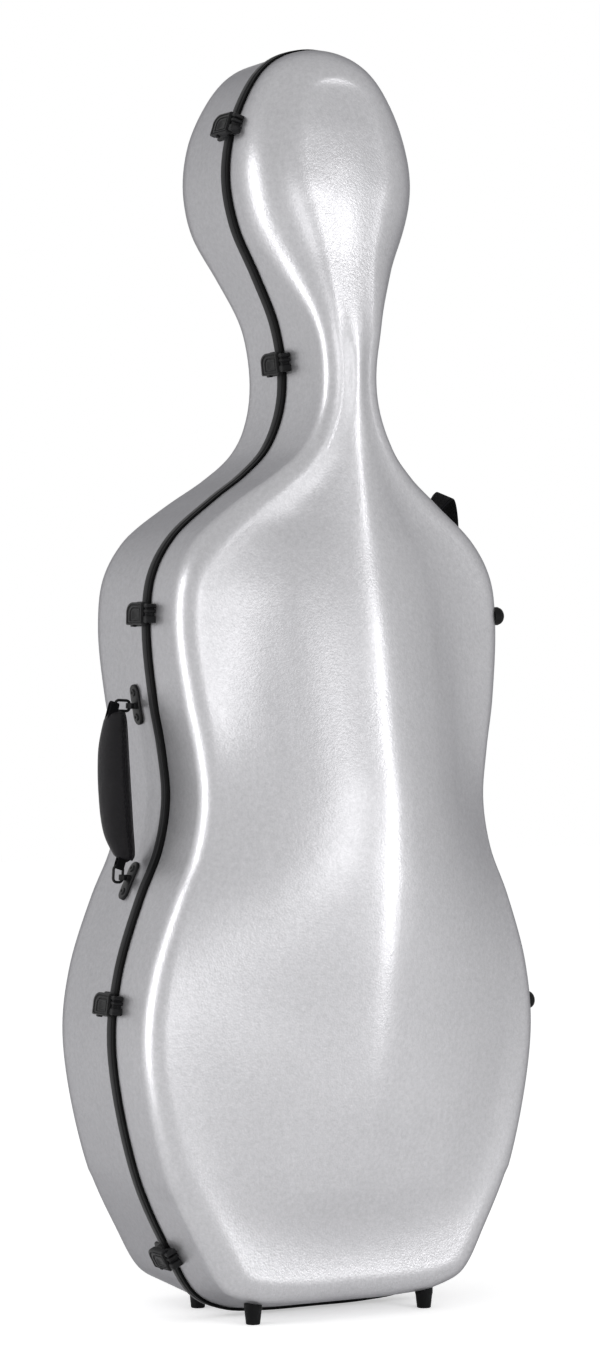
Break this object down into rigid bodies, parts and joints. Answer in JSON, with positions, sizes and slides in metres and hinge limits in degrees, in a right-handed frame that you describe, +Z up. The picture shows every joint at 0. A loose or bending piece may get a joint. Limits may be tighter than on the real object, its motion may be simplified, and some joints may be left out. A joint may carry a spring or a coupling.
{
  "type": "cello hard case",
  "caption": "Upright hard case for a cello: moulded silver shells hinged along a side, with latches, padded carrying handle, grab strap, soft lining and feet.",
  "frame": {"origin": "middle of the base of the case's own box, on the floor", "axes": "+Z up, -Y towards the lid (the front), +X towards the hinges"},
  "size_m": [0.5018, 0.327, 1.338],
  "materials": {
    "shell": "satin silver with a fine pebble grain",
    "back_rim": "satin",
    "lid_rim": "satin",
    "seal": "matte",
    "latch": "fine ribs, satin",
    "steel": "satin",
    "rubber_feet": "matte",
    "bracket": "satin",
    "leather": "grained",
    "webbing": "woven",
    "lining": "plush",
    "pad": "plush"
  },
  "bodies": {
    "case_back": {"back_shell": "shell", "back_lining": "lining", "back_rim": "back_rim", "latch_base_1": "latch", "latch_pin_1": "steel", "latch_base_2": "latch", "latch_pin_2": "steel", "latch_base_3": "latch", "latch_pin_3": "steel", "latch_base_4": "latch", "latch_pin_4": "steel", "latch_base_5": "latch", "latch_pin_5": "steel", "upper_hinge_back_leaf": "bracket", "upper_hinge_pin": "steel", "lower_hinge_back_leaf": "bracket", "lower_hinge_pin": "steel", "back_foot_left": "rubber_feet", "back_foot_right": "rubber_feet", "back_bumper_upper": "rubber_feet", "back_bumper_lower": "rubber_feet", "handle_bracket_upper": "bracket", "handle_bracket_lower": "bracket", "shoulder_strap": "webbing", "strap_anchor_upper": "bracket", "strap_anchor_lower": "bracket", "neck_cradle": "pad", "neck_strap": "webbing", "end_pin_block": "pad", "upper_back_pad": "pad", "lower_back_pad": "pad"},
    "lid": {"lid_shell": "shell", "lid_lining": "lining", "lid_rim": "lid_rim", "seam_seal": "seal", "latch_keeper_1": "latch", "latch_keeper_2": "latch", "latch_keeper_3": "latch", "latch_keeper_4": "latch", "latch_keeper_5": "latch", "upper_hinge_lid_leaf": "bracket", "lower_hinge_lid_leaf": "bracket", "front_foot_left": "rubber_feet", "front_foot_right": "rubber_feet", "lid_bumper_upper": "rubber_feet", "lid_bumper_lower": "rubber_feet", "bow_clip_left": "latch", "bow_clip_right": "latch", "lid_pad": "pad"},
    "carry_handle": {"handle_ring_upper": "bracket", "handle_ring_lower": "bracket", "handle_grip": "leather"},
    "latch_lever_1_body": {"latch_lever_1": "latch"},
    "latch_lever_2_body": {"latch_lever_2": "latch"},
    "latch_lever_3_body": {"latch_lever_3": "latch"},
    "latch_lever_4_body": {"latch_lever_4": "latch"},
    "latch_lever_5_body": {"latch_lever_5": "latch"},
    "bow_toggle_left_body": {"bow_toggle_left": "latch"},
    "bow_toggle_right_body": {"bow_toggle_right": "latch"}
  },
  "joints": [
    {"name": "lid_swing", "type": "hinge", "parent": "case_back", "child": "lid", "pos_m": [0.2445, 0.00749, 0.28483], "axis": [-0.0905, 0, 0.9959], "range_deg": [0, 120]},
    {"name": "latch_lever_1_swing", "type": "hinge", "parent": "case_back", "child": "latch_lever_1_body", "pos_m": [-0.10583, 0.02849, 1.25055], "axis": [-0.293, 0, -0.9561], "range_deg": [0, 100]},
    {"name": "latch_lever_2_swing", "type": "hinge", "parent": "case_back", "child": "latch_lever_2_body", "pos_m": [-0.04661, 0.02849, 1.00152], "axis": [0.1093, 0, -0.994], "range_deg": [0, 100]},
    {"name": "latch_lever_3_swing", "type": "hinge", "parent": "case_back", "child": "latch_lever_3_body", "pos_m": [-0.20751, 0.02849, 0.73792], "axis": [-0.0344, 0, -0.9994], "range_deg": [0, 100]},
    {"name": "latch_lever_4_swing", "type": "hinge", "parent": "case_back", "child": "latch_lever_4_body", "pos_m": [-0.24581, 0.02849, 0.33392], "axis": [-0.1318, 0, -0.9913], "range_deg": [0, 100]},
    {"name": "latch_lever_5_swing", "type": "hinge", "parent": "case_back", "child": "latch_lever_5_body", "pos_m": [-0.17928, 0.02849, 0.06412], "axis": [0.464, 0, -0.8858], "range_deg": [0, 100]},
    {"name": "handle_swing", "type": "hinge", "parent": "case_back", "child": "carry_handle", "pos_m": [-0.20693, 0.04849, 0.46091], "axis": [0.0449, 0, 0.999], "range_deg": [-75, 75]},
    {"name": "bow_toggle_left_swing", "type": "hinge", "parent": "lid", "child": "bow_toggle_left_body", "pos_m": [-0.11498, -0.04995, 0.2707], "axis": [0, 1, 0], "range_deg": [0, 90]},
    {"name": "bow_toggle_right_swing", "type": "hinge", "parent": "lid", "child": "bow_toggle_right_body", "pos_m": [0.10902, -0.04995, 0.2707], "axis": [0, 1, 0], "range_deg": [0, 90]}
  ]
}
